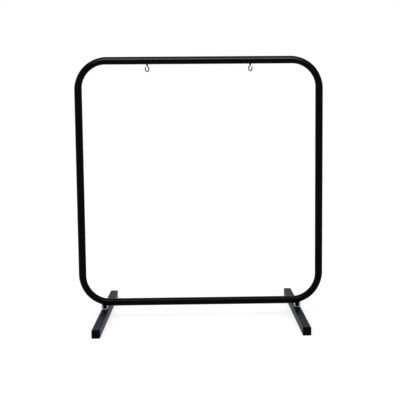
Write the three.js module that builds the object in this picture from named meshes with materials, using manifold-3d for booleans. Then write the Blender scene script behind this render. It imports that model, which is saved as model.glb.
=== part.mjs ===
import * as THREE from 'three';
import { mergeVertices } from 'three/addons/utils/BufferGeometryUtils.js';
import Module from 'manifold-3d';

// A gong stand: one closed loop of round tube that stands on two square tube feet.
// Millimetres, +Z up, the player at -Y. The origin is on the floor, in the middle of the box
// round the stand. The loop stands in the plane y = loopY.

const wasm = await Module();
wasm.setup();

// The loop: round tube, bent at its four corners and welded end to end.
const loopWidth = 1100;
const loopHeight = 1113;
const tubeOd = 33.7;
const tubeWall = 1.5;
const bendRadius = 125;
const tubeSides = 32;
const boreSides = 16;
const bendSteps = 12;

// The feet: square tube lying on the floor, closed by a moulded plug at each end.
const footSize = 35;
const footWall = 1.5;
const footCornerRadius = 3;
const footFront = 378;
const footRear = 412;
const footInboard = 3;
const cornerSteps = 2;

// The foot joint: how it stands in the loop, and its bolt.
const railGap = 16;
const boltInset = 113;
const boltDiameter = 10;
const boltHeadAcross = 16;
const boltHeadHeight = 6.4;
const boltEngagement = 20;
const boltHoleClearance = 0.5;
const tipChamferShare = 0.2;
const accessHole = 21;

// The black boss, welded into the underside of the loop and tapped for the bolt.
const bossDiameter = 18;
const bossChamfer = 3;
const bossInside = 8;

// The bright U-shaped saddle between the foot and the loop.
const saddleWidth = 28;
const saddleDepth = 18;
const saddleStrap = 3;
const saddleInnerRadius = 5;
const saddleHorn = 2;

// Washers under the bolt head.
const flatWasherDiameter = 20;
const flatWasherThickness = 2;
const springWasherDiameter = 18;
const springWasherThickness = 2.2;
const springWasherSlit = 2;

// End plugs.
const plugHead = 5;
const plugRound = 1.5;
const plugBodyLength = 19;
const plugBodyInset = 1.6;
const plugBodyWall = 2;
const finThickness = 1.2;
const finPitch = 5.6;
const finCount = 3;
const grooveOuter = 17;
const grooveInner = 13.4;
const grooveDepth = 0.9;

// The two hooks under the top rail, with their threaded inserts and lock nuts.
const hookSpacing = 455;
const hookWire = 4.9;
const hookDrop = 33;
const hookBowlRadius = 6.7;
const hookShoulderRise = 8.5;
const hookTipRise = 10.2;
const hookTipFlare = 1;
const hookNeck = 0.9;
const hookThread = 5;
const hookThreadInside = 12;
const quarterCircleShare = 0.5523;
const insertBody = 7;
const insertFlange = 10;
const insertFlangeThickness = 1;
const insertBulge = 9.4;
const insertBulgeHeight = 3;
const insertInside = 10;
const lockNutAcross = 8;
const lockNutHeight = 4;
const hookSteps = 26;
const hookSides = 10;
const tipRings = 6;
const studSides = 16;

// Fits. seat is the gap between pieces that rest on each other, fit the gap round a piece in
// its hole, and overrun is how far a cutter runs past what it cuts.
const seat = 0.3;
const fit = 0.3;
const overrun = 2;
const weldDistance = 0.001;
const roundSides = 24;

// Places that follow from the sizes.
const loopY = (footFront - footRear) / 2;
const loopHalfStraight = loopWidth / 2 - tubeOd / 2 - bendRadius;
const loopHalfUpright = loopHeight / 2 - tubeOd / 2 - bendRadius;
const railUnder = footSize + railGap;
const loopCentreZ = railUnder + loopHeight / 2;
const boltX = loopWidth / 2 - boltInset;
const topRailUnder = railUnder + loopHeight - tubeOd;
const quarter = Math.PI / 2;

// Height of the underside of the loop at a distance x from its middle.
function undersideAt(x) {
  const intoBend = Math.max(0, Math.abs(x) - loopHalfStraight);
  const outer = bendRadius + tubeOd / 2;
  return railUnder + outer - Math.sqrt(outer * outer - intoBend * intoBend);
}

function finish(name, color, roughness, metalness) {
  return new THREE.MeshStandardMaterial({ name, color, roughness, metalness });
}

const blackPaint = finish('black_powder_coat', 0x0b0d0d, 0.32, 0.1);
const blackPlastic = finish('black_plastic', 0x0a0a0b, 0.55, 0);
const blackSteel = finish('black_oxide_steel', 0x17181a, 0.45, 0.8);
const brightZinc = finish('bright_zinc', 0xc4c8cc, 0.3, 1);

function toSolid(geometry) {
  const plain = geometry.clone();
  plain.deleteAttribute('normal');
  plain.deleteAttribute('uv');
  const merged = mergeVertices(plain, weldDistance);
  const body = { numProp: 3, vertProperties: merged.attributes.position.array, triVerts: merged.index.array };
  return new wasm.Manifold(new wasm.Mesh(body));
}

function toMesh(name, solid, material) {
  const body = solid.getMesh();
  const geometry = new THREE.BufferGeometry();
  geometry.setAttribute('position', new THREE.BufferAttribute(new Float32Array(body.vertProperties), 3));
  geometry.setIndex(new THREE.BufferAttribute(new Uint32Array(body.triVerts), 1));
  geometry.computeVertexNormals();
  const mesh = new THREE.Mesh(geometry, material);
  mesh.name = name;
  return mesh;
}

// A solid of revolution about Z from a closed profile of [radius, z] points.
function revolve(profile, sides = roundSides) {
  const points = [...profile, profile[0]].map(([radius, z]) => new THREE.Vector2(radius, z));
  const geometry = new THREE.LatheGeometry(points, sides);
  geometry.rotateX(quarter);
  return toSolid(geometry);
}

function upright(radius, bottom, top, sides = roundSides) {
  return revolve([[0, bottom], [radius, bottom], [radius, top], [0, top]], sides);
}

// A flat ring, or any round piece with a bore.
function ring(outer, inner, bottom, top) {
  return revolve([[inner, bottom], [outer, bottom], [outer, top], [inner, top]]);
}

function circleShape(radius) {
  return new THREE.Shape().absarc(0, 0, radius, 0, 2 * Math.PI);
}

function roundedSquare(size, radius) {
  const half = size / 2;
  const flat = half - radius;
  const shape = new THREE.Shape();
  shape.moveTo(-flat, -half);
  shape.lineTo(flat, -half);
  shape.absarc(flat, -flat, radius, -quarter, 0);
  shape.lineTo(half, flat);
  shape.absarc(flat, flat, radius, 0, quarter);
  shape.lineTo(-flat, half);
  shape.absarc(-flat, flat, radius, quarter, 2 * quarter);
  shape.lineTo(-half, -flat);
  shape.absarc(-flat, -flat, radius, 2 * quarter, 3 * quarter);
  return shape;
}

// A shape drawn in X and Z, extruded along Y from y = from to y = to.
function extrudeAlongY(shape, from, to) {
  const geometry = new THREE.ExtrudeGeometry(shape, {
    depth: to - from,
    bevelEnabled: false,
    curveSegments: cornerSteps,
  });
  geometry.rotateX(quarter);
  geometry.translate(0, to, 0);
  return toSolid(geometry);
}

// A hexagon of the given width across flats, its corners chamfered on one or both faces.
function hexagon(across, bottom, top, chamferTop) {
  const corner = across / Math.sqrt(3);
  const prism = upright(corner, bottom, top, 6);
  const chamfer = corner - across / 2;
  const rise = chamfer / Math.sqrt(3);
  const upper = chamferTop ? [[corner, top - rise], [across / 2, top]] : [[corner, top]];
  const envelope = revolve([[0, bottom], [across / 2, bottom], [corner, bottom + rise], ...upper, [0, top]]);
  return prism.intersect(envelope);
}

// The closed centreline of the loop. Each straight takes one step of the sweep and each bend
// takes bendSteps, so the sweep follows the curve's own parameter and not its arc length.
class LoopPath extends THREE.Curve {
  getUtoTmapping(u) {
    return u;
  }

  corner(index) {
    const right = index === 0 || index === 1;
    const upper = index === 1 || index === 2;
    const x = right ? loopHalfStraight : -loopHalfStraight;
    const z = upper ? loopHalfUpright : -loopHalfUpright;
    return new THREE.Vector3(x, 0, z);
  }

  // Where a parameter lies: the side of the loop, how far along it, and the angle turned.
  locate(t) {
    const stepsPerSide = bendSteps + 1;
    const station = (t % 1) * 4 * stepsPerSide;
    const side = Math.floor(station / stepsPerSide);
    const along = station - side * stepsPerSide;
    const turned = Math.max(0, along - 1) / bendSteps;
    return { side, along, angle: (side - 1 + turned) * quarter };
  }

  getPoint(t, target = new THREE.Vector3()) {
    const { side, along, angle } = this.locate(t);
    const radial = new THREE.Vector3(Math.cos(angle), 0, Math.sin(angle)).multiplyScalar(bendRadius);
    const start = this.corner((side + 3) % 4);
    return target.copy(start).lerp(this.corner(side), Math.min(1, along)).add(radial);
  }

  getTangent(t, target = new THREE.Vector3()) {
    const { angle } = this.locate(t);
    return target.set(-Math.sin(angle), 0, Math.cos(angle));
  }
}

// Sweeps a round section round the whole loop. The two lids of the extrusion meet, so only
// its side walls are kept and welded into one closed skin.
function sweepLoop(radius, sides) {
  const geometry = new THREE.ExtrudeGeometry(circleShape(radius), {
    steps: 4 * (bendSteps + 1),
    bevelEnabled: false,
    curveSegments: sides / 2,
    extrudePath: new LoopPath(),
  });
  const walls = geometry.groups[1];
  const all = geometry.attributes.position.array;
  const skin = new THREE.BufferGeometry();
  const kept = all.slice(walls.start * 3, (walls.start + walls.count) * 3);
  skin.setAttribute('position', new THREE.BufferAttribute(kept, 3));
  skin.translate(0, 0, loopCentreZ);
  return toSolid(skin);
}

function loopFrame() {
  const bore = sweepLoop(tubeOd / 2 - tubeWall, boreSides);
  let tube = sweepLoop(tubeOd / 2, tubeSides).subtract(bore);
  for (const side of [-1, 1]) {
    const under = undersideAt(boltX);
    const bossHole = upright(bossDiameter / 2 + fit, bossBottom, under + tubeOd / 2);
    tube = tube.subtract(bossHole.translate(side * boltX, 0, 0));
    const insertHole = upright(insertBody / 2 + fit, topRailUnder - overrun, topRailUnder + tubeOd / 2);
    tube = tube.subtract(insertHole.translate(side * hookSpacing / 2, 0, 0));
  }
  return tube;
}

// The foot tube, in the frame of its bolt: x = 0 is the bolt and inboard is -side.
function footTube(side) {
  const wall = roundedSquare(footSize, footCornerRadius);
  wall.holes.push(roundedSquare(footSize - 2 * footWall, footCornerRadius - footWall));
  const tube = extrudeAlongY(wall, -footFront + plugHead, footRear - plugHead);
  const placed = tube.translate(-side * footInboard, 0, footSize / 2);
  const boltHole = upright(boltDiameter / 2 + boltHoleClearance, footSize / 2, footSize + overrun);
  const access = upright(accessHole / 2, -overrun, footSize / 2);
  return placed.subtract(boltHole).subtract(access);
}

// An end plug with its face at y = 0, looking towards -Y, centred on the tube's own axis.
function endPlug() {
  const inset = roundedSquare(footSize - 2 * plugRound, footCornerRadius - plugRound);
  const rounded = new THREE.ExtrudeGeometry(inset, {
    depth: plugHead,
    bevelThickness: plugRound,
    bevelSize: plugRound,
    bevelSegments: 2,
    curveSegments: cornerSteps,
  });
  rounded.rotateX(quarter);
  rounded.translate(0, plugHead + plugRound, 0);
  const back = extrudeAlongY(roundedSquare(2 * footSize, footCornerRadius), plugHead, 2 * plugHead + overrun);
  const head = toSolid(rounded).subtract(back);

  const tubeInside = footSize - 2 * footWall;
  const cornerInside = footCornerRadius - footWall;
  const bodySize = tubeInside - 2 * plugBodyInset;
  const bodyEnd = plugHead + plugBodyLength;
  let plug = head.add(extrudeAlongY(roundedSquare(bodySize, cornerInside), plugHead - overrun, bodyEnd));
  for (let index = 0; index < finCount; index += 1) {
    const start = bodyEnd - finThickness - index * finPitch;
    const fin = roundedSquare(tubeInside - 2 * fit, cornerInside);
    plug = plug.add(extrudeAlongY(fin, start, start + finThickness));
  }
  const pocket = roundedSquare(bodySize - 2 * plugBodyWall, cornerInside);
  plug = plug.subtract(extrudeAlongY(pocket, plugHead, bodyEnd + overrun));

  const groove = ring(grooveOuter / 2, grooveInner / 2, -overrun, grooveDepth);
  return plug.subtract(groove.rotate([-90, 0, 0]));
}

// The boss, through the wall of the bend, in the frame of its bolt. Its chamfered end sits on the
// floor of the saddle, so the bolt draws the foot tube and the saddle up against it.
const bossBottom = footSize + seat + saddleStrap + seat;

function tappedBoss() {
  const top = undersideAt(boltX) + tubeWall + bossInside;
  const outer = bossDiameter / 2;
  const bore = boltDiameter / 2 + fit;
  const end = [[bore, bossBottom], [outer - bossChamfer, bossBottom]];
  return revolve([...end, [outer, bossBottom + bossChamfer], [outer, top], [bore, top]]);
}

// The U-shaped saddle: its floor lies on the foot, and its two legs are coped to the tube.
// The bend rises towards the outside, so the outer leg is the longer one.
function saddleBracket(side, loopSkin) {
  const half = saddleWidth / 2;
  const inner = half - saddleStrap;
  const outerRadius = saddleInnerRadius + saddleStrap;
  const floor = footSize + seat;
  const legTop = (x) => undersideAt(side * boltX + x) + saddleHorn;
  const shape = new THREE.Shape();
  shape.moveTo(-half, legTop(-half));
  shape.lineTo(-half, floor + outerRadius);
  shape.absarc(-half + outerRadius, floor + outerRadius, outerRadius, 2 * quarter, 3 * quarter);
  shape.lineTo(half - outerRadius, floor);
  shape.absarc(half - outerRadius, floor + outerRadius, outerRadius, 3 * quarter, 4 * quarter);
  shape.lineTo(half, legTop(half));
  shape.lineTo(inner, legTop(inner));
  shape.lineTo(inner, floor + outerRadius);
  shape.absarc(inner - saddleInnerRadius, floor + outerRadius, saddleInnerRadius, 0, -quarter, true);
  shape.lineTo(saddleInnerRadius - inner, floor + saddleStrap);
  const outboard = saddleInnerRadius - inner;
  shape.absarc(outboard, floor + outerRadius, saddleInnerRadius, -quarter, -2 * quarter, true);
  shape.lineTo(-inner, legTop(-inner));
  const strap = extrudeAlongY(shape, -saddleDepth / 2, saddleDepth / 2);
  const hole = boltDiameter / 2 + boltHoleClearance;
  const boltHole = upright(hole, floor - overrun, floor + saddleStrap + overrun);
  return strap.subtract(boltHole).subtract(loopSkin.translate(-side * boltX, 0, 0));
}

// What hangs under the top wall of the foot, from that wall down.
const flatWasherTop = footSize - footWall - seat;
const springWasherTop = flatWasherTop - flatWasherThickness - seat;
const boltHeadTop = springWasherTop - springWasherThickness - seat;

function flatWasher() {
  const hole = boltDiameter / 2 + fit;
  return ring(flatWasherDiameter / 2, hole, flatWasherTop - flatWasherThickness, flatWasherTop);
}

function springWasher() {
  const hole = boltDiameter / 2 + fit;
  const bottom = springWasherTop - springWasherThickness;
  const whole = ring(springWasherDiameter / 2, hole, bottom, springWasherTop);
  const cutter = new THREE.BoxGeometry(springWasherDiameter, springWasherSlit, springWasherDiameter);
  cutter.rotateX(Math.PI / 6);
  cutter.translate(springWasherDiameter / 2, 0, bottom + springWasherThickness / 2);
  return whole.subtract(toSolid(cutter));
}

function footBolt() {
  const tip = bossBottom + boltEngagement;
  const head = hexagon(boltHeadAcross, boltHeadTop - boltHeadHeight, boltHeadTop, false);
  const shank = boltDiameter / 2;
  const chamfer = shank * tipChamferShare;
  const start = boltHeadTop - boltHeadHeight / 2;
  const tapered = [[shank, tip - chamfer], [shank - chamfer, tip]];
  return head.add(revolve([[0, start], [shank, start], ...tapered, [0, tip]]));
}

// The threaded insert of a hook, set from below into the top rail. Its frame has z = 0 at the
// underside of the rail. The bulge clears the inside of the wall, whose flats lie a little
// nearer to the middle of the tube than its corners do.
function hookInsert() {
  const bore = hookThread / 2 + fit;
  const body = insertBody / 2;
  const bulge = insertBulge / 2;
  const inside = tubeOd / 2 - tubeWall;
  const flats = inside * Math.cos(Math.PI / boreSides);
  const bulgeBottom = tubeWall + inside - Math.sqrt(flats * flats - bulge * bulge) + seat;
  const bulgeTop = bulgeBottom + insertBulgeHeight;
  const top = tubeWall + insertInside;
  return revolve([
    [bore, -seat - insertFlangeThickness],
    [insertFlange / 2, -seat - insertFlangeThickness],
    [insertFlange / 2, -seat],
    [body, -seat],
    [body, bulgeBottom],
    [bulge, (bulgeBottom + bulgeTop) / 2],
    [body, bulgeTop],
    [body, top],
    [bore, top],
  ]);
}

const lockNutTop = -seat - insertFlangeThickness - seat;
const lockNutBottom = lockNutTop - lockNutHeight;

function hookLockNut() {
  const nut = hexagon(lockNutAcross, lockNutBottom, lockNutTop, true);
  return nut.subtract(upright(hookThread / 2 + fit, lockNutBottom - overrun, lockNutTop + overrun));
}

// The hook: a threaded stud, an offset shank and a round bowl whose mouth opens outboard.
function hook(side) {
  const bowl = hookBowlRadius;
  const pull = bowl * quarterCircleShare;
  const centreZ = -(hookDrop - hookWire / 2 - bowl);
  const place = (x, z) => new THREE.Vector3(side * x, 0, z);
  const neckZ = lockNutBottom - hookNeck;
  const shoulder = centreZ + hookShoulderRise;
  const middle = (shoulder + neckZ) / 2;
  const bend = (...points) => new THREE.CubicBezierCurve3(...points);
  const neck = place(0, neckZ);
  const bowlInboard = place(-bowl, centreZ);
  const bowlBottom = place(0, centreZ - bowl);
  const bowlOutboard = place(bowl, centreZ);
  const tip = place(bowl + hookTipFlare, centreZ + hookTipRise);
  const path = new THREE.CurvePath();
  path.add(new THREE.LineCurve3(place(0, 0), neck));
  path.add(bend(neck, place(0, middle), place(-bowl, middle), place(-bowl, shoulder)));
  path.add(new THREE.LineCurve3(place(-bowl, shoulder), bowlInboard));
  path.add(bend(bowlInboard, place(-bowl, centreZ - pull), place(-pull, centreZ - bowl), bowlBottom));
  path.add(bend(bowlBottom, place(pull, centreZ - bowl), place(bowl, centreZ - pull), bowlOutboard));
  path.add(new THREE.LineCurve3(bowlOutboard, tip));
  const wire = toSolid(new THREE.ExtrudeGeometry(circleShape(hookWire / 2), {
    steps: hookSteps,
    bevelEnabled: false,
    curveSegments: hookSides / 2,
    extrudePath: path,
  }));
  const end = new THREE.SphereGeometry(hookWire / 2, hookSides, tipRings);
  end.translate(tip.x, tip.y, tip.z);
  const stud = upright(hookThread / 2, neckZ, hookThreadInside, studSides);
  return wire.add(toSolid(end)).add(stud);
}

const gongStand = new THREE.Group();
gongStand.name = 'gong_stand';

const loop = new THREE.Group();
loop.position.set(0, loopY, 0);
loop.add(toMesh('loop_frame', loopFrame(), blackPaint));
gongStand.add(loop);

const loopSkin = sweepLoop(tubeOd / 2 + seat, tubeSides);

for (const [label, side] of [['left', -1], ['right', 1]]) {
  const joint = new THREE.Group();
  joint.position.set(side * boltX, loopY, 0);
  joint.add(toMesh(`${label}_foot_tube`, footTube(side), blackPaint));
  joint.add(toMesh(`${label}_tapped_boss`, tappedBoss(), blackPaint));
  joint.add(toMesh(`${label}_saddle_bracket`, saddleBracket(side, loopSkin), brightZinc));
  joint.add(toMesh(`${label}_foot_bolt`, footBolt(), blackSteel));
  joint.add(toMesh(`${label}_flat_washer`, flatWasher(), brightZinc));
  joint.add(toMesh(`${label}_spring_washer`, springWasher(), brightZinc));

  const frontPlug = toMesh(`${label}_front_plug`, endPlug(), blackPlastic);
  frontPlug.position.set(-side * footInboard, -footFront, footSize / 2);
  joint.add(frontPlug);
  const rearPlug = toMesh(`${label}_rear_plug`, endPlug(), blackPlastic);
  rearPlug.position.set(-side * footInboard, footRear, footSize / 2);
  rearPlug.rotation.z = Math.PI;
  joint.add(rearPlug);
  gongStand.add(joint);

  const hanger = new THREE.Group();
  hanger.position.set(side * hookSpacing / 2, loopY, topRailUnder);
  hanger.add(toMesh(`${label}_hook_insert`, hookInsert(), blackSteel));
  hanger.add(toMesh(`${label}_hook_lock_nut`, hookLockNut(), blackSteel));
  hanger.add(toMesh(`${label}_hook`, hook(side), blackSteel));
  gongStand.add(hanger);
}

export default gongStand;
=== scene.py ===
import math

import bmesh
import bpy
import numpy as np
from mathutils import Matrix, Vector


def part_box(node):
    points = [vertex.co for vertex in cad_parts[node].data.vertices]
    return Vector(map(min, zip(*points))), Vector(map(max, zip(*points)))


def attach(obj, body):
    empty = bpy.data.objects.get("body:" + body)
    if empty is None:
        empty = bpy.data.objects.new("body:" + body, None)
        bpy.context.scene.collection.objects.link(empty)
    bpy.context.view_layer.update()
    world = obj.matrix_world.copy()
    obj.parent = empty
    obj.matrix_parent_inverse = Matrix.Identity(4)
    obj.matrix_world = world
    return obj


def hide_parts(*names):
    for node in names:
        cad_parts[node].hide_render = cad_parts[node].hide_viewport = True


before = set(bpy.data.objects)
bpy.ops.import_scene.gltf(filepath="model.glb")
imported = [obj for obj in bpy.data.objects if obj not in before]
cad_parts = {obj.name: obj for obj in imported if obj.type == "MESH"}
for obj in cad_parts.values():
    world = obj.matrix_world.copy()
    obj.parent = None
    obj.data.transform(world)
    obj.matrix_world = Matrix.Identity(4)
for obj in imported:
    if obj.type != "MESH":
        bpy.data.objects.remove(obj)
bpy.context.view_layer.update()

# The camera. The stand was photographed from 3.8 m in front of its middle, at four fifths of its
# height, with the lens tilted down onto the feet and turned a little to the right. The picture is
# a crop, so its optical axis lies to the right of its middle.
IMAGE_SIZE = 400
FOCAL_PIXELS = 852.18
AXIS_OFFSET_PIXELS = 20.10
SENSOR_MM = 36
CAMERA_PLACE = Vector((-0.0046, -3.8185, 0.9170))
TILT_DOWN = 0.10233
TURN_RIGHT = 0.024728
LEAN = 0.008438
VIEW_DEPTH = 200

lens = bpy.data.cameras.new("camera")
lens.sensor_width = SENSOR_MM
lens.lens = FOCAL_PIXELS / IMAGE_SIZE * SENSOR_MM
lens.shift_x = -AXIS_OFFSET_PIXELS / IMAGE_SIZE
lens.clip_end = VIEW_DEPTH
camera = bpy.data.objects.new("camera", lens)
bpy.context.scene.collection.objects.link(camera)
turned = Matrix.Rotation(-TURN_RIGHT, 4, "Z") @ Matrix.Rotation(-TILT_DOWN, 4, "X")
upright = Matrix.Rotation(LEAN, 4, "Y") @ Matrix.Rotation(math.pi / 2, 4, "X")
camera.matrix_world = Matrix.Translation(CAMERA_PLACE) @ turned @ upright
bpy.context.scene.camera = camera
bpy.context.scene.view_settings.view_transform = "Standard"

# The studio. The stand is on a pale sweep that runs out to white, in plain soft light from all
# round. One soft box above gives it its shadow, and two panels show only as gleams: one over the
# top rail that the loop reflects, and a cool one behind that the feet reflect.
ROOM_LIGHT = 0.75
WHITE = (1.0, 1.0, 1.0, 1.0)
FLOOR_COLOUR = (0.52, 0.52, 0.52, 1.0)
FLOOR_GLOW = 0.62
FLOOR_RADIUS = 40
FLOOR_SEGMENTS = 96
RAIL_PANEL_SPREAD = math.radians(58)
COOL_LIGHT = (0.22, 0.55, 1.0)


class Signal:
    """A socket of a finish, usable in sums as if it were the number it carries."""

    def __init__(self, finish, socket):
        self.finish = finish
        self.socket = socket

    def math(self, operation, *terms):
        return self.finish.node("ShaderNodeMath", {"operation": operation}, dict(enumerate(terms)))

    def __add__(self, other):
        return self.math("ADD", self, other)

    def __radd__(self, other):
        return self.math("ADD", other, self)

    def __sub__(self, other):
        return self.math("SUBTRACT", self, other)

    def __rsub__(self, other):
        return self.math("SUBTRACT", other, self)

    def __mul__(self, other):
        return self.math("MULTIPLY", self, other)

    def __rmul__(self, other):
        return self.math("MULTIPLY", other, self)

    def __pow__(self, other):
        return self.math("POWER", self, other)

    def __rpow__(self, other):
        return self.math("POWER", other, self)

    def __abs__(self):
        return self.math("ABSOLUTE", self)

    def most(self, other):
        return self.math("MAXIMUM", self, other)

    def ramp(self, low, high):
        """0 below low, 1 above high, and straight in between; low may be the greater."""
        sockets = {0: self, 1: low, 2: high, 3: 0.0, 4: 1.0}
        return self.finish.node("ShaderNodeMapRange", {"clamp": True}, sockets)


class Finish:
    """The nodes of a material or of the world."""

    def __init__(self, owner):
        owner.use_nodes = True
        self.tree = owner.node_tree
        self.tree.nodes.clear()

    def node(self, kind, settings=None, sockets=None, output=0):
        """Adds a node, sets it up, fills or links its sockets, and returns one output."""
        node = self.tree.nodes.new(kind)
        for name, value in (settings or {}).items():
            setattr(node, name, value)
        for name, value in (sockets or {}).items():
            socket = node.inputs[name]
            if isinstance(value, Signal):
                self.tree.links.new(value.socket, socket)
            else:
                socket.default_value = value
        return Signal(self, node.outputs[output] if len(node.outputs) else None)

    def mix_colours(self, factor, first, second):
        """Mixes two colours, which are sockets 6 and 7 of the node, and the result its output 2."""
        settings = {"data_type": "RGBA"}
        return self.node("ShaderNodeMix", settings, {0: factor, 6: first, 7: second}, 2)

    def noise(self, place, scale, detail=2.0, roughness=0.5):
        sockets = {"Vector": place, "Scale": scale, "Detail": detail, "Roughness": roughness}
        return self.node("ShaderNodeTexNoise", None, sockets)


def seen(finish):
    """1 for what the camera sees, straight, in a reflection or through glass."""
    camera_ray = finish.node("ShaderNodeLightPath", output="Is Camera Ray")
    glossy_ray = finish.node("ShaderNodeLightPath", output="Is Glossy Ray")
    through_ray = finish.node("ShaderNodeLightPath", output="Is Transmission Ray")
    return camera_ray.most(glossy_ray).most(through_ray)


world = bpy.data.worlds.new("studio")
bpy.context.scene.world = world
sky = Finish(world)
lit = sky.node("ShaderNodeBackground", None, {"Color": WHITE, "Strength": ROOM_LIGHT})
white = sky.node("ShaderNodeBackground", None, {"Color": WHITE, "Strength": 1.0})
both = sky.node("ShaderNodeMixShader", None, {0: seen(sky), 1: lit, 2: white})
sky.node("ShaderNodeOutputWorld", None, {"Surface": both})

sweep_paper = bpy.data.materials.new("sweep_paper")
paper = Finish(sweep_paper)
matt = paper.node("ShaderNodeBsdfDiffuse", None, {"Color": FLOOR_COLOUR})
glow = paper.node("ShaderNodeEmission", None, {"Color": WHITE, "Strength": seen(paper) * FLOOR_GLOW})
glowing = paper.node("ShaderNodeAddShader", None, {0: matt, 1: glow})
paper.node("ShaderNodeOutputMaterial", None, {"Surface": glowing})

disc = bmesh.new()
bmesh.ops.create_circle(disc, cap_ends=True, segments=FLOOR_SEGMENTS, radius=FLOOR_RADIUS)
floor_mesh = bpy.data.meshes.new("studio_floor")
disc.to_mesh(floor_mesh)
disc.free()
floor = bpy.data.objects.new("studio_floor", floor_mesh)
floor.data.materials.append(sweep_paper)
bpy.context.scene.collection.objects.link(floor)


def soft_box(name, place, target, width, height, power, colour=(1.0, 1.0, 1.0), gleam_only=False):
    """A flat lamp of that size in metres, aimed at a point; gleam_only lights no matt surface."""
    lamp = bpy.data.lights.new(name, "AREA")
    lamp.shape = "RECTANGLE"
    lamp.size = width
    lamp.size_y = height
    lamp.energy = power
    lamp.color = colour
    holder = bpy.data.objects.new(name, lamp)
    holder.visible_camera = False
    holder.visible_diffuse = not gleam_only
    bpy.context.scene.collection.objects.link(holder)
    aim = (Vector(target) - Vector(place)).to_track_quat("-Z", "Y")
    holder.matrix_world = Matrix.Translation(place) @ aim.to_matrix().to_4x4()
    return holder


soft_box(
    "key_box", place=(-0.8, -1.8, 3.4), target=(0.0, 0.0, 0.6),
    width=2.4, height=2.4, power=30,
)
rail_panel = soft_box(
    "rail_panel", place=(0.5, -0.80, 2.05), target=(0.5, 0.03, 1.30),
    width=2.6, height=0.9, power=42, gleam_only=True,
)
rail_panel.data.spread = RAIL_PANEL_SPREAD
rail_panel.light_linking.receiver_collection = bpy.data.collections.new("lit_by_rail_panel")
cool_panel = soft_box(
    "cool_panel", place=(0.6, 4.0, 2.6), target=(0.1, -0.2, 0.0),
    width=4.4, height=2.0, power=78, colour=COOL_LIGHT, gleam_only=True,
)
cool_panel.light_linking.receiver_collection = bpy.data.collections.new("lit_by_cool_panel")

# The loop: 33.7 mm steel tube with a 1.5 mm wall, bent at its four corners on a draw bender, butt
# welded in the middle of the bottom rail, ground, and powder coated semi-gloss black. Bent without
# a mandrel, each corner is flattened in the plane of the loop and a little wider across it.
BEND_RADIUS = 0.125
RING_POINTS = 64
STRAIGHT_STEP = 0.02
BEND_STEPS = 48
FLATTENING = 0.075
FLATTENING_ONSET = 1.6
WIDENING = 0.02
WELD_HEIGHT = 0.0003
WELD_HALF_WIDTH = 0.0025
SHARP_ANGLE = math.radians(32)

PAINT_DARK = (0.0010, 0.0013, 0.0014, 1.0)
PAINT_LIGHT = (0.0017, 0.0021, 0.0022, 1.0)
PAINT_DUST = (0.012, 0.0125, 0.013, 1.0)
PAINT_SPECULAR = 0.03
PAINT_ROUGHNESS = 0.2
PAINT_TINT = (0.82, 0.94, 1.0, 1.0)
PAINT_RUBBED = (0.02, 0.02, 0.021, 1.0)
PEEL_HEIGHT = 0.00007
PAINT_GRAIN = 0.0000015
PIT_DEPTH = 0.00001
DUST_COVER = 0.2

loop_low, loop_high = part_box("loop_frame")
tube_radius = (loop_high.y - loop_low.y) / 2
loop_y = (loop_high.y + loop_low.y) / 2
half_width = (loop_high.x - loop_low.x) / 2 - tube_radius
half_height = (loop_high.z - loop_low.z) / 2 - tube_radius
middle_z = (loop_high.z + loop_low.z) / 2
half_straight = half_width - BEND_RADIUS
half_upright = half_height - BEND_RADIUS
lower_bend_z = middle_z - half_upright


def skin(name, rings, closed=False):
    """Joins rings of as many points, each to the next, and caps or closes the ends."""
    rings = np.asarray(rings, float)
    count, around = rings.shape[:2]
    last = count if closed else count - 1
    faces = []
    for ring in range(last):
        here = ring * around
        there = (ring + 1) % count * around
        for point in range(around):
            after = (point + 1) % around
            faces.append((here + point, here + after, there + after, there + point))
    if not closed:
        faces.append(tuple(range(around)))
        faces.append(tuple(range((count - 1) * around, count * around)))
    mesh = bpy.data.meshes.new(name)
    mesh.from_pydata(rings.reshape(-1, 3).tolist(), [], faces)
    shape = bmesh.new()
    shape.from_mesh(mesh)
    bmesh.ops.recalc_face_normals(shape, faces=shape.faces)
    shape.to_mesh(mesh)
    shape.free()
    piece = bpy.data.objects.new(name, mesh)
    bpy.context.scene.collection.objects.link(piece)
    return piece


def dress(piece, material, slot, body, *nodes):
    """Shades a finished mesh, gives it its finish, and puts it on its body for its nodes."""
    shape = bmesh.new()
    shape.from_mesh(piece.data)
    for face in shape.faces:
        face.smooth = True
    for edge in shape.edges:
        edge.smooth = edge.calc_face_angle(0.0) < SHARP_ANGLE
    shape.to_mesh(piece.data)
    shape.free()
    weighted = piece.modifiers.new("even_shading", "WEIGHTED_NORMAL")
    weighted.keep_sharp = True
    piece.data.materials.append(material)
    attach(piece, body)
    if nodes:
        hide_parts(*nodes)
    return piece


def loop_stations():
    """Round the loop: the point it bends round or runs beside, outward angle, share of a bend."""
    for side, (sign_x, sign_z) in enumerate([(1, 1), (-1, 1), (-1, -1), (1, -1)]):
        outward = side * math.pi / 2
        run = 2 * (half_upright if side % 2 == 0 else half_straight)
        steps = round(run / STRAIGHT_STEP)
        centre = np.array([sign_x * half_straight, 0.0, middle_z + sign_z * half_upright])
        along = np.array([-math.sin(outward), 0.0, math.cos(outward)])
        for step in range(steps):
            yield centre - along * run * (1 - step / steps), outward, 0.0
        for step in range(BEND_STEPS):
            share = step / BEND_STEPS
            yield centre, outward + share * math.pi / 2, share


def near_weld(centre, outward):
    """How much of the ground weld bead stands up at a station, from 0 to 1."""
    if not math.isclose(math.sin(outward), -1.0):
        return 0.0
    return math.exp(-((centre[0] / WELD_HALF_WIDTH) ** 2))


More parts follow.
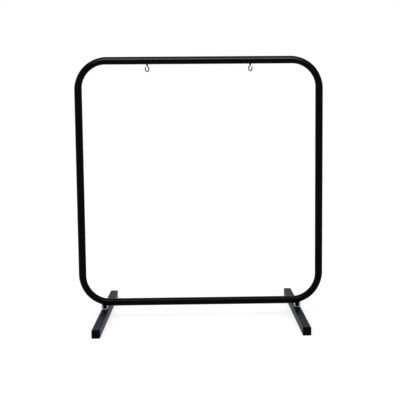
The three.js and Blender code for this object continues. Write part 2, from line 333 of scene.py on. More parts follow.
def loop_rings():
    """The outside of the tube, flattened in the bends and a hair proud at the weld."""
    around = np.linspace(0, 2 * math.pi, RING_POINTS, endpoint=False)
    for centre, outward, into_bend in loop_stations():
        out = np.array([math.cos(outward), 0.0, math.sin(outward)])
        bent = min(1.0, math.sin(math.pi * into_bend) * FLATTENING_ONSET)
        raised = tube_radius + WELD_HEIGHT * near_weld(centre, outward)
        radial = raised * np.cos(around) * (1 - FLATTENING * bent)
        sideways = raised * np.sin(around) * (1 + WIDENING * bent)
        middle = centre + out * BEND_RADIUS + np.array([0.0, loop_y, 0.0])
        yield middle + np.outer(radial, out) + np.outer(sideways, [0, 1, 0])


def tube_underside(x, y, radius):
    """Height of the lower side of a tube of that radius that follows the bottom rail."""
    past = max(0.0, abs(x) - half_straight)
    reach = BEND_RADIUS + math.sqrt(max(0.0, radius**2 - (y - loop_y) ** 2))
    return lower_bend_z - math.sqrt(reach**2 - past**2)


def powder_coat(name, specular, roughness, rubbed=None):
    """Black powder coat: fine orange peel, a soft change of gloss, faint dust on top.

    rubbed takes the finish and the place, and gives how far the upper side is rubbed there.
    """
    material = bpy.data.materials.new(name)
    finish = Finish(material)
    place = finish.node("ShaderNodeTexCoord", output="Object")
    cloud = finish.noise(place, scale=5.0, detail=3.0)
    streak = finish.noise(place, scale=38.0, detail=4.0, roughness=0.6)
    peel = finish.noise(place, scale=330.0, detail=2.0)
    grain = finish.noise(place, scale=2600.0, detail=1.0)
    pits = finish.noise(place, scale=900.0, detail=1.0).ramp(0.70, 0.80)
    facing = finish.node("ShaderNodeNewGeometry", output="Normal")
    up = finish.node("ShaderNodeSeparateXYZ", None, {0: facing}, 2)
    dusty = up.ramp(0.75, 1.0) * streak.ramp(0.45, 0.75) * DUST_COVER
    tone = finish.mix_colours(cloud.ramp(0.3, 0.7), PAINT_DARK, PAINT_LIGHT)
    colour = finish.mix_colours(dusty, tone, PAINT_DUST)
    worn = 0.0
    if rubbed:
        worn = rubbed(finish, place) * streak.ramp(0.35, 0.65) * up.ramp(0.9, 1.0)
        colour = finish.mix_colours(worn, colour, PAINT_RUBBED)
    height = peel * PEEL_HEIGHT + grain * PAINT_GRAIN - pits * PIT_DEPTH
    normal = finish.node("ShaderNodeBump", None, {"Strength": 1.0, "Distance": 1.0, "Height": height})
    shader = finish.node("ShaderNodeBsdfPrincipled", None, {
        "Base Color": colour,
        "Roughness": roughness + cloud * 0.04 + streak * 0.03 + dusty * 0.2 + worn,
        "Specular IOR Level": specular,
        "Specular Tint": PAINT_TINT,
        "Normal": normal,
    })
    finish.node("ShaderNodeOutputMaterial", None, {"Surface": shader})
    return material


paint = powder_coat("black_powder_coat", PAINT_SPECULAR, PAINT_ROUGHNESS)
loop_tube = skin("loop_tube", list(loop_rings()), closed=True)
dress(loop_tube, paint, "black_powder_coat", "frame", "loop_frame")
rail_panel.light_linking.receiver_collection.objects.link(loop_tube)

# The bosses: turned steel, pushed through the wall of the lower bends and welded round with one
# rippled fillet before coating. The lower end, chamfered and just rounded off, bears on the saddle.
BOSS_CHAMFER = 0.003
BOSS_EDGE = 0.0007
BOSS_POINTS = 72
BOLT_RADIUS = 0.005
THREAD_CLEARANCE = 0.0003
FILLET = 0.0018
FILLET_ROOT = 0.0008
FILLET_RIPPLE = 0.00014
FILLET_RIPPLES = 19
FILLET_SAG = 0.18
FILLET_ARC_POINTS = 7
FILLET_POINTS = 144


def turned_rings(profile, centre, points):
    """Rings of a turned piece about an upright axis from its radii and heights."""
    angles = np.linspace(0, 2 * math.pi, points, endpoint=False)
    for radius, height in profile:
        ring = np.zeros((points, 3))
        ring[:, 0] = centre[0] + radius * np.cos(angles)
        ring[:, 1] = centre[1] + radius * np.sin(angles)
        ring[:, 2] = height
        yield ring


def fillet_rings(centre, radius):
    """A bead of weld between an upright round piece and the underside of the loop."""
    for step in range(FILLET_POINTS):
        angle = 2 * math.pi * step / FILLET_POINTS
        ripple = FILLET_RIPPLE * abs(math.sin(FILLET_RIPPLES * angle / 2))
        leg = FILLET - ripple
        section = []
        for lean in np.linspace(0, math.pi / 2, FILLET_ARC_POINTS):
            hollow = leg * (1 - FILLET_SAG * math.sin(2 * lean))
            section.append((radius + hollow * (1 - math.cos(lean)), hollow * (1 - math.sin(lean))))
        section.append((radius + leg, -FILLET_ROOT))
        section.append((radius - FILLET_ROOT, -FILLET_ROOT))
        section.append((radius - FILLET_ROOT, leg))
        ring = []
        for reach, drop in section:
            x = centre[0] + reach * math.cos(angle)
            y = centre[1] + reach * math.sin(angle)
            ring.append((x, y, tube_underside(x, y, tube_radius) - drop))
        yield ring


for side in ("left", "right"):
    low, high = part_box(f"{side}_tapped_boss")
    centre = (low + high) / 2
    outer = (high.x - low.x) / 2
    bore = BOLT_RADIUS + THREAD_CLEARANCE
    end_radius = outer - BOSS_CHAMFER
    shoulder = low.z + BOSS_CHAMFER
    profile = [
        (bore, low.z + BOSS_EDGE), (bore + BOSS_EDGE, low.z),
        (end_radius - BOSS_EDGE / 2, low.z), (end_radius + BOSS_EDGE / 2, low.z + BOSS_EDGE / 3),
        (outer - BOSS_EDGE / 3, shoulder - BOSS_EDGE / 2), (outer, shoulder + BOSS_EDGE / 2),
        (outer, high.z - BOSS_EDGE), (outer - BOSS_EDGE, high.z),
        (bore + BOSS_EDGE, high.z), (bore, high.z - BOSS_EDGE),
    ]
    boss = skin(f"{side}_boss", list(turned_rings(profile, centre, BOSS_POINTS)), closed=True)
    dress(boss, paint, "black_powder_coat", "frame", f"{side}_tapped_boss")
    weld = skin(f"{side}_boss_weld", list(fillet_rings(centre, outer)), closed=True)
    dress(weld, paint, "black_powder_coat", "frame")

# The saddles: 18 x 3 mm steel strap folded to a U, each leg coped to the round of the tube where
# it rises into the bend, drilled for the bolt, tumbled to break its edges and zinc plated bright.
STRAP = 0.003
SADDLE_INNER_RADIUS = 0.005
SADDLE_HORN = 0.002
SADDLE_EDGE = 0.0004
COPE_GAP = 0.0003
SADDLE_STATIONS = 25
ARC_POINTS = 9
HOLE_POINTS = 96
HOLE_CLEARANCE = 0.0005
BOLT_HOLE_RADIUS = BOLT_RADIUS + HOLE_CLEARANCE

ZINC_DARK = (0.50, 0.515, 0.53, 1.0)
ZINC_LIGHT = (0.70, 0.715, 0.73, 1.0)
ZINC_DULL = (0.30, 0.31, 0.31, 1.0)
ZINC_ROUGHNESS = 0.26
ROLLING_SCALE = (140.0, 2600.0, 140.0)
ROLLING_HEIGHT = 0.000004
SCUFF_SCALE = (300.0, 3800.0, 300.0)
SCUFF_SLANT = (0.4, 0.3, 0.6)
SCUFF_DEPTH = 0.000005
SPECK_DEPTH = 0.000003


def bright_zinc():
    """Bright zinc over rolled strap: faint rolling lines, cloudy passivation, fine scuffs."""
    material = bpy.data.materials.new("bright_zinc")
    finish = Finish(material)
    place = finish.node("ShaderNodeTexCoord", output="Object")
    rolled = finish.node("ShaderNodeMapping", None, {"Vector": place, "Scale": ROLLING_SCALE})
    lines = finish.noise(rolled, scale=1.0, detail=3.0, roughness=0.6)
    cloud = finish.noise(place, scale=260.0, detail=3.0)
    speck = finish.noise(place, scale=1500.0, detail=2.0).ramp(0.60, 0.72)
    slanted = finish.node("ShaderNodeMapping", None, {
        "Vector": place,
        "Rotation": SCUFF_SLANT,
        "Scale": SCUFF_SCALE,
    })
    scuffs = finish.noise(slanted, scale=1.0, detail=1.0).ramp(0.66, 0.74)
    plated = finish.mix_colours(cloud.ramp(0.3, 0.7), ZINC_DARK, ZINC_LIGHT)
    colour = finish.mix_colours(speck * 0.5, plated, ZINC_DULL)
    height = lines * ROLLING_HEIGHT - scuffs * SCUFF_DEPTH - speck * SPECK_DEPTH
    normal = finish.node("ShaderNodeBump", None, {"Strength": 1.0, "Distance": 1.0, "Height": height})
    shader = finish.node("ShaderNodeBsdfPrincipled", None, {
        "Base Color": colour,
        "Metallic": 1.0,
        "Roughness": ZINC_ROUGHNESS + cloud * 0.12 + speck * 0.2 + scuffs * 0.1,
        "Normal": normal,
    })
    finish.node("ShaderNodeOutputMaterial", None, {"Surface": shader})
    return material


def arc(centre_a, centre_b, radius, start, end, points):
    """Points of a plane arc, its angles in radians."""
    return [(centre_a + radius * math.cos(angle), centre_b + radius * math.sin(angle))
            for angle in np.linspace(start, end, points)]


def saddle_ring(centre_x, half, floor, y, shrink):
    """The U of a saddle at one depth, drawn in by shrink all round."""
    outer = half - shrink
    inner = half - STRAP + shrink
    outer_radius = SADDLE_INNER_RADIUS + STRAP - shrink
    inner_radius = SADDLE_INNER_RADIUS + shrink
    bend_x = half - STRAP - SADDLE_INNER_RADIUS
    bend_z = floor + STRAP + SADDLE_INNER_RADIUS

    def leg_top(x, drop):
        at = centre_x + x
        square = tube_underside(at, loop_y, tube_radius) + SADDLE_HORN
        coped = tube_underside(at, y, tube_radius + COPE_GAP)
        return (x, min(square, coped) - shrink - drop)

    outline = [leg_top(-outer + SADDLE_EDGE, 0), leg_top(-outer, SADDLE_EDGE)]
    outline += arc(-bend_x, bend_z, outer_radius, math.pi, 1.5 * math.pi, ARC_POINTS)
    outline += arc(bend_x, bend_z, outer_radius, 1.5 * math.pi, 2 * math.pi, ARC_POINTS)
    outline += [leg_top(outer, SADDLE_EDGE), leg_top(outer - SADDLE_EDGE, 0)]
    outline += [leg_top(inner + SADDLE_EDGE, 0), leg_top(inner, SADDLE_EDGE)]
    outline += arc(bend_x, bend_z, inner_radius, 2 * math.pi, 1.5 * math.pi, ARC_POINTS)
    outline += arc(-bend_x, bend_z, inner_radius, 1.5 * math.pi, math.pi, ARC_POINTS)
    outline += [leg_top(-inner, SADDLE_EDGE), leg_top(-inner - SADDLE_EDGE, 0)]
    return [(centre_x + x, y, z) for x, z in outline]


def drill(piece, centre, radius, bottom, top):
    """Takes an upright round hole out of a skin."""
    hole = skin("cutter", list(turned_rings([(radius, bottom), (radius, top)], centre, HOLE_POINTS)))
    cut = piece.modifiers.new("hole", "BOOLEAN")
    cut.object = hole
    cut.solver = "EXACT"
    cut_piece = piece.evaluated_get(bpy.context.evaluated_depsgraph_get())
    bored = bpy.data.meshes.new_from_object(cut_piece)
    piece.modifiers.clear()
    piece.data = bored
    bpy.data.objects.remove(hole)


zinc = bright_zinc()
for side in ("left", "right"):
    low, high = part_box(f"{side}_saddle_bracket")
    centre = (low + high) / 2
    half = (high.x - low.x) / 2
    rings = [saddle_ring(centre.x, half, low.z, low.y, SADDLE_EDGE)]
    for y in np.linspace(low.y + SADDLE_EDGE, high.y - SADDLE_EDGE, SADDLE_STATIONS):
        rings.append(saddle_ring(centre.x, half, low.z, y, 0.0))
    rings.append(saddle_ring(centre.x, half, low.z, high.y, SADDLE_EDGE))
    saddle = skin(f"{side}_saddle", rings)
    drill(saddle, centre, BOLT_HOLE_RADIUS, low.z - STRAP, low.z + 2 * STRAP)
    dress(saddle, zinc, "bright_zinc", "frame", f"{side}_saddle_bracket")

# The foot bolts: M10 hexagon set screws, forged, thread rolled to the head and blackened. Each
# comes up through its foot and saddle into the boss and clamps the three together.
THREAD_PITCH = 0.0015
THREAD_DEPTH = 0.00092
THREAD_HOLLOW = 0.9
STEPS_PER_TURN = 10
HEAD_HEIGHT = 0.0064
HEAD_ACROSS = 0.016
HEAD_FACE_RADIUS = 0.00704
HEAD_EDGE = 0.0003
HEAD_EDGE_CUT = 0.15
HEX_POINTS = 96
TIP_TAPER = 0.001

STEEL_DARK = (0.007, 0.0074, 0.008, 1.0)
STEEL_LIGHT = (0.016, 0.0165, 0.0175, 1.0)
STEEL_BARE = (0.11, 0.106, 0.10, 1.0)
STEEL_METALLIC = 0.85
STEEL_ROUGHNESS = 0.36
OXIDE_HEIGHT = 0.000006
OXIDE_GRAIN = 0.000002


def black_steel():
    """Black oxide on steel: dull blue-black, a little oily, rubbed browner in places."""
    material = bpy.data.materials.new("black_oxide_steel")
    finish = Finish(material)
    place = finish.node("ShaderNodeTexCoord", output="Object")
    cloud = finish.noise(place, scale=420.0, detail=3.0)
    rubbed = finish.noise(place, scale=180.0, detail=4.0, roughness=0.65).ramp(0.60, 0.74)
    grain = finish.noise(place, scale=4200.0, detail=1.0)
    tone = finish.mix_colours(cloud.ramp(0.3, 0.7), STEEL_DARK, STEEL_LIGHT)
    colour = finish.mix_colours(rubbed * 0.25, tone, STEEL_BARE)
    height = cloud * OXIDE_HEIGHT + grain * OXIDE_GRAIN
    normal = finish.node("ShaderNodeBump", None, {"Strength": 1.0, "Distance": 1.0, "Height": height})
    shader = finish.node("ShaderNodeBsdfPrincipled", None, {
        "Base Color": colour,
        "Metallic": STEEL_METALLIC,
        "Roughness": STEEL_ROUGHNESS + cloud * 0.14 - rubbed * 0.06,
        "Normal": normal,
    })
    finish.node("ShaderNodeOutputMaterial", None, {"Surface": shader})
    return material


def hexagon_rings(across, chamfer, levels, centre, points):
    """Rings of a hexagon; each level is a height and how far its chamfer cone is drawn in."""
    angles = np.linspace(0, 2 * math.pi, points, endpoint=False)
    inside = (angles + math.pi / 6) % (math.pi / 3) - math.pi / 6
    flats = across / 2 / np.cos(inside)
    for height, drawn_in in levels:
        cone = across / math.sqrt(3) - drawn_in * chamfer
        radius = np.minimum(flats, cone)
        ring = np.zeros((points, 3))
        ring[:, 0] = centre[0] + radius * np.cos(angles)
        ring[:, 1] = centre[1] + radius * np.sin(angles)
        ring[:, 2] = height
        yield ring


def thread_radius(angles, height, radius, pitch, depth):
    """Round a screw thread at one height: a ridge whose flanks are a little hollow."""
    turn = (height / pitch - angles / (2 * math.pi)) % 1
    return radius - depth * np.abs(2 * turn - 1) ** THREAD_HOLLOW


def bolt_rings(low, high):
    """A bolt from its head's chamfered face up the thread to its tapered tip."""
    centre = (low + high) / 2
    chamfer = HEAD_ACROSS / math.sqrt(3) - HEAD_ACROSS / 2
    rise = chamfer / math.sqrt(3)
    head_top = low.z + HEAD_HEIGHT
    levels = [
        (low.z, 1.0), (low.z + rise / 2, 0.5), (low.z + rise, 0.0),
        (head_top - HEAD_EDGE, 0.0), (head_top, HEAD_EDGE_CUT),
    ]
    angles = np.linspace(0, 2 * math.pi, HEX_POINTS, endpoint=False)
    yield from turned_rings([(HEAD_FACE_RADIUS, low.z)], centre, HEX_POINTS)
    yield from hexagon_rings(HEAD_ACROSS, chamfer, levels, centre, HEX_POINTS)
    steps = round((high.z - head_top) / THREAD_PITCH * STEPS_PER_TURN)
    for step in range(steps + 1):
        height = head_top + (high.z - head_top) * step / steps
        taper = max(0.0, TIP_TAPER - (high.z - height))
        radius = thread_radius(angles, height, BOLT_RADIUS, THREAD_PITCH, THREAD_DEPTH)
        radius = np.minimum(radius, BOLT_RADIUS - taper)
        ring = np.zeros((HEX_POINTS, 3))
        ring[:, 0] = centre.x + radius * np.cos(angles)
        ring[:, 1] = centre.y + radius * np.sin(angles)
        ring[:, 2] = height
        yield ring


steel = black_steel()
for side in ("left", "right"):
    low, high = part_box(f"{side}_foot_bolt")
    bolt = skin(f"{side}_bolt", list(bolt_rings(low, high)))
    dress(bolt, steel, "black_steel", "frame", f"{side}_foot_bolt")

# The washers under the bolt heads: a stamped flat one, its upper edge rolled over by the punch,
# and a spring washer of square wire, slit once and clamped nearly flat. Both are zinc plated.
WASHER_EDGE = 0.0004
SPRING_TWIST = 0.0001
SPRING_STEPS = 84
SPRING_SLIT = 0.13


def spring_rings(low, high):
    """Square wire wound once round, from one side of the slit to the other."""
    centre = (low + high) / 2
    outer = (high.x - low.x) / 2
    inner = BOLT_RADIUS + THREAD_CLEARANCE
    for step in range(SPRING_STEPS + 1):
        turned_by = step / SPRING_STEPS
        angle = SPRING_SLIT + turned_by * (2 * math.pi - 2 * SPRING_SLIT)
        lift = SPRING_TWIST * (turned_by - 0.5)
        bottom = low.z + SPRING_TWIST / 2 + lift
        top = high.z - SPRING_TWIST / 2 + lift
        section = [
            (inner, bottom + WASHER_EDGE), (inner + WASHER_EDGE, bottom), (outer - WASHER_EDGE, bottom),
            (outer, bottom + WASHER_EDGE), (outer, top - WASHER_EDGE), (outer - WASHER_EDGE, top),
            (inner + WASHER_EDGE, top), (inner, top - WASHER_EDGE),
        ]
        yield [(centre.x + reach * math.cos(angle), centre.y + reach * math.sin(angle), height)
               for reach, height in section]


for side in ("left", "right"):
    low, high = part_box(f"{side}_flat_washer")
    centre = (low + high) / 2
    outer = (high.x - low.x) / 2
    inner = BOLT_RADIUS + THREAD_CLEARANCE
    profile = [
        (inner, low.z + WASHER_EDGE), (inner + WASHER_EDGE, low.z), (outer - WASHER_EDGE, low.z),
        (outer, low.z + WASHER_EDGE), (outer, high.z - 2 * WASHER_EDGE),
        (outer - WASHER_EDGE / 2, high.z - WASHER_EDGE / 2), (outer - 2 * WASHER_EDGE, high.z),
        (inner + WASHER_EDGE / 2, high.z), (inner, high.z - WASHER_EDGE / 2),
    ]
    washer = skin(f"{side}_washer", list(turned_rings(profile, centre, BOSS_POINTS)), closed=True)
    dress(washer, zinc, "bright_zinc", "frame", f"{side}_flat_washer")
    low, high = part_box(f"{side}_spring_washer")
    spring = skin(f"{side}_spring", list(spring_rings(low, high)))
    dress(spring, zinc, "bright_zinc", "frame", f"{side}_spring_washer")

# The foot tubes: 35 mm square tube, cut to length, drilled on top for the bolt and below for the
# spanner, then powder coated, duller than the loop. Turning the foot has rubbed the coat round
# the bolt.
FOOT_CORNER = 0.003
FOOT_WALL = 0.0015
FOOT_EDGE = 0.0003
ACCESS_RADIUS = 0.0105
CORNER_POINTS = 9
FLAT_POINTS = 7
RUB_WIDTH = 0.0006
RUB_FADE = 0.0024
RUB_INSIDE = 0.15
RUB_STRENGTH = 0.5
SWEEP = 0.0166
FOOT_SPECULAR = 0.013
FOOT_ROUGHNESS = 0.33


def square_ring(half, radius):
    """A rounded square in two coordinates, as many points for every size."""
    flat = half - radius
    outline = []
    for quadrant in range(4):
        start = quadrant * math.pi / 2
        middle = start + math.pi / 4
        centre_a = flat * math.sqrt(2) * math.cos(middle)
        centre_b = flat * math.sqrt(2) * math.sin(middle)
        corner = arc(centre_a, centre_b, radius, start, start + math.pi / 2, CORNER_POINTS)
        outline += corner
        heading = start + math.pi
        last_a, last_b = corner[-1]
        for step in range(1, FLAT_POINTS + 1):
            run = 2 * flat * step / (FLAT_POINTS + 1)
            outline.append((last_a + run * math.cos(heading), last_b + run * math.sin(heading)))
    return outline


def foot_ring(centre, y, half, radius):
    return [(centre.x + across, y, centre.z + up) for across, up in square_ring(half, radius)]


def foot_rings(low, high):
    """The outside of a foot from end to end, then back through its bore."""
    centre = (low + high) / 2
    outer = (high.x - low.x) / 2
    inner = outer - FOOT_WALL
    bore_corner = FOOT_CORNER - FOOT_WALL
    yield foot_ring(centre, low.y, outer - FOOT_EDGE, FOOT_CORNER - FOOT_EDGE)
    yield foot_ring(centre, low.y + FOOT_EDGE, outer, FOOT_CORNER)
    yield foot_ring(centre, high.y - FOOT_EDGE, outer, FOOT_CORNER)
    yield foot_ring(centre, high.y, outer - FOOT_EDGE, FOOT_CORNER - FOOT_EDGE)
    yield foot_ring(centre, high.y, inner, bore_corner)
    yield foot_ring(centre, low.y, inner, bore_corner)


hinge_low, hinge_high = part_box("left_foot_bolt")
hinge = (hinge_low + hinge_high) / 2


def turned_on(finish, place):
    """The two fine arcs that the ends of a saddle leave on the foot when it is swivelled."""
    x = finish.node("ShaderNodeSeparateXYZ", None, {0: place}, 0)
    y = finish.node("ShaderNodeSeparateXYZ", None, {0: place}, 1)
    across = abs(x) - abs(hinge.x)
    reach = (across * across + (y - hinge.y) * (y - hinge.y)) ** 0.5
    mark = reach.ramp(SWEEP - RUB_WIDTH, SWEEP) * reach.ramp(SWEEP + RUB_WIDTH, SWEEP)
    inside = reach.ramp(SWEEP, SWEEP - RUB_FADE) * RUB_INSIDE
    return (mark + inside) * RUB_STRENGTH


foot_paint = powder_coat("foot_powder_coat", FOOT_SPECULAR, FOOT_ROUGHNESS, turned_on)
for side in ("left", "right"):
    low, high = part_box(f"{side}_foot_tube")
    bolt_low, bolt_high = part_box(f"{side}_foot_bolt")
    axis = (bolt_low + bolt_high) / 2
    foot = skin(f"{side}_foot", list(foot_rings(low, high)), closed=True)
    middle = (low.z + high.z) / 2
    drill(foot, axis, BOLT_HOLE_RADIUS, middle, high.z + FOOT_WALL)
    drill(foot, axis, ACCESS_RADIUS, low.z - FOOT_WALL, middle)
    dress(foot, foot_paint, "black_powder_coat", f"{side}_foot", f"{side}_foot_tube")
    cool_panel.light_linking.receiver_collection.objects.link(foot)

# The end plugs: moulded polyethylene with a square rounded head, a moulding ring in the middle of
# the face, and a hollow body whose three thin fins fold back and grip inside the tube.
PLUG_HEAD = 0.005
PLUG_ROUND = 0.0015
PLUG_END = 0.024
PLUG_BODY = 0.0144
PLUG_POCKET = 0.0124
PLUG_FIN = 0.0157
PLUG_CORNER = 0.0015
FIN_STARTS = (0.0116, 0.0172, 0.0228)
FIN_THICKNESS = 0.0012
FACE_MIDDLE = 0.0005
GROOVE_INNER = 0.0067
GROOVE_OUTER = 0.0085
GROOVE_DEPTH = 0.0009
GROOVE_EDGE = 0.00025

PLASTIC_DARK = (0.0030, 0.0030, 0.0034, 1.0)
PLASTIC_LIGHT = (0.0050, 0.0050, 0.0056, 1.0)
PLASTIC_SCUFF = (0.03, 0.03, 0.031, 1.0)
PLASTIC_SPECULAR = 0.006
PLASTIC_ROUGHNESS = 0.50
ETCH_HEIGHT = 0.000008
FLOW_HEIGHT = 0.00001


def moulded_plastic():
    """Black polyethylene: a fine etched grain, faint flow marks, paler scuffs."""
    material = bpy.data.materials.new("black_plastic")
    finish = Finish(material)
    place = finish.node("ShaderNodeTexCoord", output="Object")
    flow = finish.noise(place, scale=70.0, detail=2.0)
    grain = finish.noise(place, scale=2800.0, detail=2.0)
    scuff = finish.noise(place, scale=240.0, detail=4.0, roughness=0.7).ramp(0.66, 0.80)
    tone = finish.mix_colours(flow.ramp(0.3, 0.7), PLASTIC_DARK, PLASTIC_LIGHT)
    colour = finish.mix_colours(scuff * 0.35, tone, PLASTIC_SCUFF)
    height = grain * ETCH_HEIGHT + flow * FLOW_HEIGHT - scuff * ETCH_HEIGHT
    normal = finish.node("ShaderNodeBump", None, {"Strength": 1.0, "Distance": 1.0, "Height": height})
    shader = finish.node("ShaderNodeBsdfPrincipled", None, {
        "Base Color": colour,
        "Roughness": PLASTIC_ROUGHNESS + flow * 0.08 + scuff * 0.12,
        "Specular IOR Level": PLASTIC_SPECULAR,
        "Normal": normal,
    })
    finish.node("ShaderNodeOutputMaterial", None, {"Surface": shader})
    return material


def plug_sections(outer):
    """From the middle of the face round to the bottom of the pocket: depth and outline."""
    bearings = [math.atan2(up, across) for across, up in square_ring(outer, FOOT_CORNER)]
    for radius, depth in [
        (FACE_MIDDLE, 0.0), (GROOVE_INNER - GROOVE_EDGE, 0.0), (GROOVE_INNER, GROOVE_EDGE),
        (GROOVE_INNER + GROOVE_EDGE, GROOVE_DEPTH), (GROOVE_OUTER - GROOVE_EDGE, GROOVE_DEPTH),
        (GROOVE_OUTER, GROOVE_EDGE), (GROOVE_OUTER + GROOVE_EDGE, 0.0),
    ]:
        yield depth, [(radius * math.cos(bearing), radius * math.sin(bearing)) for bearing in bearings]
    for lean in np.linspace(0, math.pi / 2, ARC_POINTS):
        drawn_in = PLUG_ROUND * (1 - math.sin(lean))
        yield PLUG_ROUND * (1 - math.cos(lean)), square_ring(outer - drawn_in, FOOT_CORNER - drawn_in)
    yield PLUG_HEAD, square_ring(outer, FOOT_CORNER)
    yield PLUG_HEAD, square_ring(PLUG_BODY, PLUG_CORNER)
    for start in FIN_STARTS:
        yield start, square_ring(PLUG_BODY, PLUG_CORNER)
        yield start + FIN_THICKNESS / 3, square_ring(PLUG_FIN, PLUG_CORNER)
        yield start + FIN_THICKNESS, square_ring(PLUG_FIN, PLUG_CORNER)
        yield start + FIN_THICKNESS, square_ring(PLUG_BODY, PLUG_CORNER)
    yield PLUG_END, square_ring(PLUG_POCKET, PLUG_CORNER)
    yield PLUG_HEAD, square_ring(PLUG_POCKET, PLUG_CORNER)


plastic = moulded_plastic()
for side in ("left", "right"):
    for end, inward in (("front", 1), ("rear", -1)):
        low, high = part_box(f"{side}_{end}_plug")
        face = low.y if inward > 0 else high.y
        centre = (low + high) / 2
        rings = []
        for depth, outline in plug_sections((high.x - low.x) / 2):
            y = face + inward * depth
            rings.append([(centre.x + across, y, centre.z + up) for across, up in outline])
        plug = skin(f"{side}_{end}_cap", rings)
        dress(plug, plastic, "black_plastic", f"{side}_foot", f"{side}_{end}_plug")

# The hook inserts: turned and blackened, pulled up against the wall of the top rail from below,
# so a thin flange shows under the rail round each hook.
HOOK_THREAD = 0.0025
INSERT_FLANGE = 0.001
INSERT_EDGE = 0.00025
INSERT_BODY = 0.0035
INSERT_BULGE = 0.0047
BULGE_START = 0.0026
BULGE_MIDDLE = 0.0042
BULGE_END = 0.0058
HOOK_FIT = 0.0003

hook_axes = {}
for side in ("left", "right"):
    low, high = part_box(f"{side}_hook_insert")
    centre = (low + high) / 2
    hook_axes[side] = centre
    outer = (high.x - low.x) / 2
    bore = HOOK_THREAD + HOOK_FIT
    seat = low.z + INSERT_FLANGE
    profile = [
        (bore, low.z + INSERT_EDGE), (bore + INSERT_EDGE, low.z), (outer - INSERT_EDGE, low.z),
        (outer, low.z + INSERT_EDGE), (outer, seat - INSERT_EDGE / 2), (outer - INSERT_EDGE / 2, seat),
        (INSERT_BODY, seat), (INSERT_BODY, seat + BULGE_START), (INSERT_BULGE, seat + BULGE_MIDDLE),
        (INSERT_BODY, seat + BULGE_END), (INSERT_BODY, high.z), (bore, high.z),
    ]
    insert = skin(f"{side}_insert", list(turned_rings(profile, centre, BOSS_POINTS)), closed=True)
    dress(insert, steel, "black_steel", "frame", f"{side}_hook_insert")

# The lock nuts: M5 hexagon nuts, 8 mm across the flats, chamfered on both faces and blackened.
NUT_COUNTERSINK = 0.0003
NUT_FACE_CUT = 1.15

for side in ("left", "right"):
    low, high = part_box(f"{side}_hook_lock_nut")
    centre = hook_axes[side]
    across = min(high.x - low.x, high.y - low.y)
    chamfer = across / math.sqrt(3) - across / 2
    rise = chamfer / math.sqrt(3)
    bore = HOOK_THREAD + HOOK_FIT
    levels = [
        (low.z, NUT_FACE_CUT), (low.z + rise, 0.0), (high.z - rise, 0.0), (high.z, NUT_FACE_CUT),
    ]
    mouth_below = [(bore, low.z + NUT_COUNTERSINK), (bore + NUT_COUNTERSINK, low.z)]
    mouth_above = [(bore + NUT_COUNTERSINK, high.z), (bore, high.z - NUT_COUNTERSINK)]
    rings = list(turned_rings(mouth_below, centre, HEX_POINTS))
    rings += list(hexagon_rings(across, chamfer, levels, centre, HEX_POINTS))
    rings += list(turned_rings(mouth_above, centre, HEX_POINTS))
    nut = skin(f"{side}_nut", rings, closed=True)
    dress(nut, steel, "black_steel", "frame", f"{side}_hook_lock_nut")

# The hooks: 4.9 mm steel wire, cold bent to an offset shank and a round bowl, its tip ground
# round, with an M5 thread cut on the straight end. Blackened like the nuts.
WIRE = 0.00245
HOOK_PITCH = 0.0008
HOOK_DEPTH = 0.00038
HOOK_NECK = 0.0009
BOWL_RADIUS = 0.0067
SHOULDER_RISE = 0.0085
TIP_RISE = 0.0102
TIP_FLARE = 0.001
TIP_END = 0.0001
OFFSET_STEPS = 24
SHANK_STEPS = 6
BOWL_STEPS = 60
TIP_STEPS = 8
WIRE_POINTS = 40


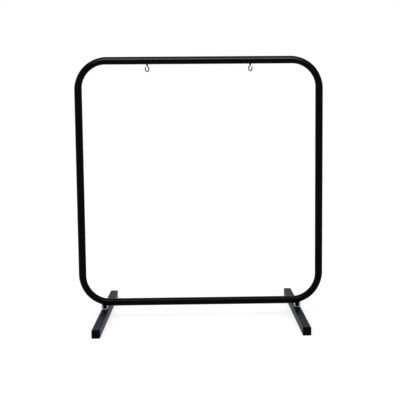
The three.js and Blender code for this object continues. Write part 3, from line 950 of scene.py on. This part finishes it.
def hook_stations(top, neck, bottom):
    """Down the stud, round the bowl and up to the tip: place beside and above, and radius."""
    steps = round((top - neck) / HOOK_PITCH * STEPS_PER_TURN)
    for step in range(steps + 1):
        yield 0.0, top + (neck - top) * step / steps, HOOK_THREAD
    bowl_z = bottom + WIRE + BOWL_RADIUS
    shoulder = bowl_z + SHOULDER_RISE
    middle = (shoulder + neck) / 2
    for share in np.linspace(0, 1, OFFSET_STEPS + 1)[1:]:
        rest = 1 - share
        beside = -BOWL_RADIUS * (3 * rest * share**2 + share**3)
        yield beside, rest**3 * neck + 3 * rest * share * middle + share**3 * shoulder, WIRE
    for share in np.linspace(0, 1, SHANK_STEPS + 1)[1:]:
        yield -BOWL_RADIUS, shoulder + (bowl_z - shoulder) * share, WIRE
    for angle in np.linspace(math.pi, 2 * math.pi, BOWL_STEPS + 1)[1:]:
        yield BOWL_RADIUS * math.cos(angle), bowl_z + BOWL_RADIUS * math.sin(angle), WIRE
    for share in np.linspace(0, 1, TIP_STEPS + 1)[1:]:
        yield BOWL_RADIUS + TIP_FLARE * share, bowl_z + TIP_RISE * share, WIRE


def hook_rings(centre, outboard, top, neck, bottom):
    """The threaded stud, the bent wire and its round tip as rings square to their path."""
    stations = list(hook_stations(top, neck, bottom))
    places = np.array([(beside, height) for beside, height, radius in stations])
    runs = np.diff(places, axis=0)
    runs /= np.linalg.norm(runs, axis=1)[:, None]
    tangents = np.vstack([runs[:1], (runs[:-1] + runs[1:]) / 2, runs[-1:]])
    tangents /= np.linalg.norm(tangents, axis=1)[:, None]
    angles = np.linspace(0, 2 * math.pi, WIRE_POINTS, endpoint=False)

    def ring(place, tangent, radius):
        across = radius * np.cos(angles)
        points = np.zeros((WIRE_POINTS, 3))
        points[:, 0] = centre.x + outboard * (place[0] - tangent[1] * across)
        points[:, 1] = centre.y + radius * np.sin(angles)
        points[:, 2] = place[1] + tangent[0] * across
        return points

    for place, tangent, (beside, height, radius) in zip(places, tangents, stations):
        if radius == HOOK_THREAD:
            faded = min(1.0, max(0.0, (height - neck) / HOOK_PITCH))
            ridge = thread_radius(angles, height, HOOK_THREAD, HOOK_PITCH, HOOK_DEPTH * faded)
            radius = np.minimum(ridge, HOOK_THREAD - max(0.0, HOOK_PITCH - (top - height)))
        yield ring(place, tangent, radius)
    for lean in np.linspace(0, math.pi / 2, TIP_STEPS + 1)[1:]:
        end = places[-1] + tangents[-1] * WIRE * math.sin(lean)
        yield ring(end, tangents[-1], max(WIRE * math.cos(lean), TIP_END))


for side, outboard in (("left", -1), ("right", 1)):
    low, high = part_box(f"{side}_hook")
    nut_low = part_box(f"{side}_hook_lock_nut")[0]
    rings = list(hook_rings(hook_axes[side], outboard, high.z, nut_low.z - HOOK_NECK, low.z))
    wire_hook = skin(f"{side}_wire_hook", rings)
    dress(wire_hook, steel, "black_steel", f"{side}_hook", f"{side}_hook")
